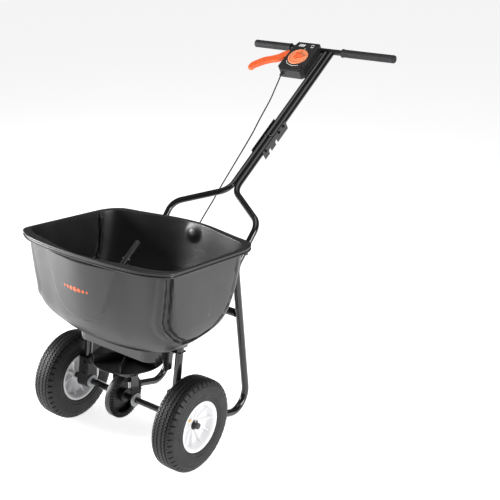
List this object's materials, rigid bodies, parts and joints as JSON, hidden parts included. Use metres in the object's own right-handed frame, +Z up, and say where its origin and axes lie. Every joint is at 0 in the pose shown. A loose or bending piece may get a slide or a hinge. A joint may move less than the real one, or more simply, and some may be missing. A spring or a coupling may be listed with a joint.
{
  "type": "broadcast spreader",
  "caption": "Walk-behind broadcast spreader: moulded hopper on a tube frame with two wheels, geared impeller, sliding gate, and a handle with lever and dial.",
  "frame": {"origin": "on the ground, straight under the middle of the wheel axle", "axes": "+X to the operator's right, +Y from the hopper's front back towards the operator, +Z up"},
  "size_m": [0.6543, 1.386, 1.1703],
  "materials": {
    "hopper_plastic": "fine grained, satin",
    "black_enamel": "gloss black powder coat",
    "nylon": "grey, satin",
    "zinc_steel": "zinc plated",
    "axle_steel": "black oxide",
    "black_plastic": "moulded, satin",
    "grip_rubber": "matt",
    "cable_sheath": "satin",
    "rim_white": "moulded white",
    "tyre_rubber": "matt rubber with tread",
    "valve_brass": "satin",
    "orange_plastic": "moulded, satin gloss",
    "orange_dial": "moulded, satin gloss"
  },
  "bodies": {
    "frame": {"hopper": "hopper_plastic", "hopper_bolts": "zinc_steel", "support_tray": "black_enamel", "gate_guides": "black_enamel", "shaft_bush": "black_plastic", "post_left": "black_enamel", "post_right": "black_enamel", "bearing_block_left": "black_enamel", "bearing_block_right": "black_enamel", "block_screws": "black_enamel", "axle_bush_left": "nylon", "axle_bush_right": "nylon", "leg_left": "black_enamel", "leg_right": "black_enamel", "rear_cross_tube": "black_enamel", "rail_straps": "black_enamel", "lower_handle_left": "black_enamel", "lower_handle_right": "black_enamel", "frame_bolts": "black_enamel", "upper_handle_left": "black_enamel", "upper_handle_right": "black_enamel", "splice_plate_left": "black_enamel", "splice_plate_right": "black_enamel", "splice_bolts": "black_enamel", "crossbar": "black_enamel", "grip_left": "grip_rubber", "grip_right": "grip_rubber", "control_base": "black_plastic", "control_cover": "black_plastic", "control_screws": "black_enamel", "lever_pin": "zinc_steel", "cable_boot": "grip_rubber", "control_cable": "cable_sheath", "cable_clip": "black_enamel", "cable_ferrule": "zinc_steel", "gear_bracket": "black_enamel", "gear_bushes": "nylon", "gear_strap": "black_enamel"},
    "axle": {"axle": "axle_steel", "drive_gear": "black_plastic", "drive_pins": "zinc_steel", "axle_washers": "black_enamel", "cotter_pins": "zinc_steel", "rim_right": "rim_white", "tyre_right": "tyre_rubber", "valve_right": "valve_brass"},
    "free_wheel": {"rim_left": "rim_white", "tyre_left": "tyre_rubber", "valve_left": "valve_brass"},
    "impeller": {"impeller_shaft": "axle_steel", "pinion": "black_plastic", "impeller_disc": "black_plastic", "stirring_rod": "black_plastic", "rod_bolt": "zinc_steel"},
    "lever": {"lever": "orange_plastic"},
    "gate": {"gate_plate": "zinc_steel", "gate_wire": "zinc_steel"},
    "dial": {"dial": "orange_dial"}
  },
  "joints": [
    {"name": "axle_spin", "type": "hinge", "parent": "frame", "child": "axle", "pos_m": [0, 0, 0.152], "axis": [1, 0, 0], "continuous": true},
    {"name": "free_wheel_spin", "type": "hinge", "parent": "axle", "child": "free_wheel", "pos_m": [-0.259, 0, 0.152], "axis": [1, 0, 0], "continuous": true},
    {"name": "impeller_spin", "type": "hinge", "parent": "frame", "child": "impeller", "pos_m": [0, 0, 0.3], "axis": [0, 0, 1], "continuous": true},
    {"name": "lever_squeeze", "type": "hinge", "parent": "frame", "child": "lever", "pos_m": [-0.106, 1.1073, 1.12702], "axis": [0, 0.5547, -0.8321], "range_deg": [0, 26], "stiffness_Nm_per_rad": 2, "springref_deg": -20.05},
    {"name": "gate_slide", "type": "slide", "parent": "frame", "child": "gate", "axis": [0, 1, 0], "range_m": [0, 0.036]},
    {"name": "dial_turn", "type": "hinge", "parent": "frame", "child": "dial", "pos_m": [-0.083, 1.05959, 1.12647], "axis": [0, -0.5547, 0.8321], "range_deg": [-60, 210]}
  ],
  "couplings": [
    {"joint": "impeller_spin", "follows": "axle_spin", "ratio": 4.8},
    {"joint": "gate_slide", "follows": "lever_squeeze", "m_per_rad": 0.079}
  ]
}
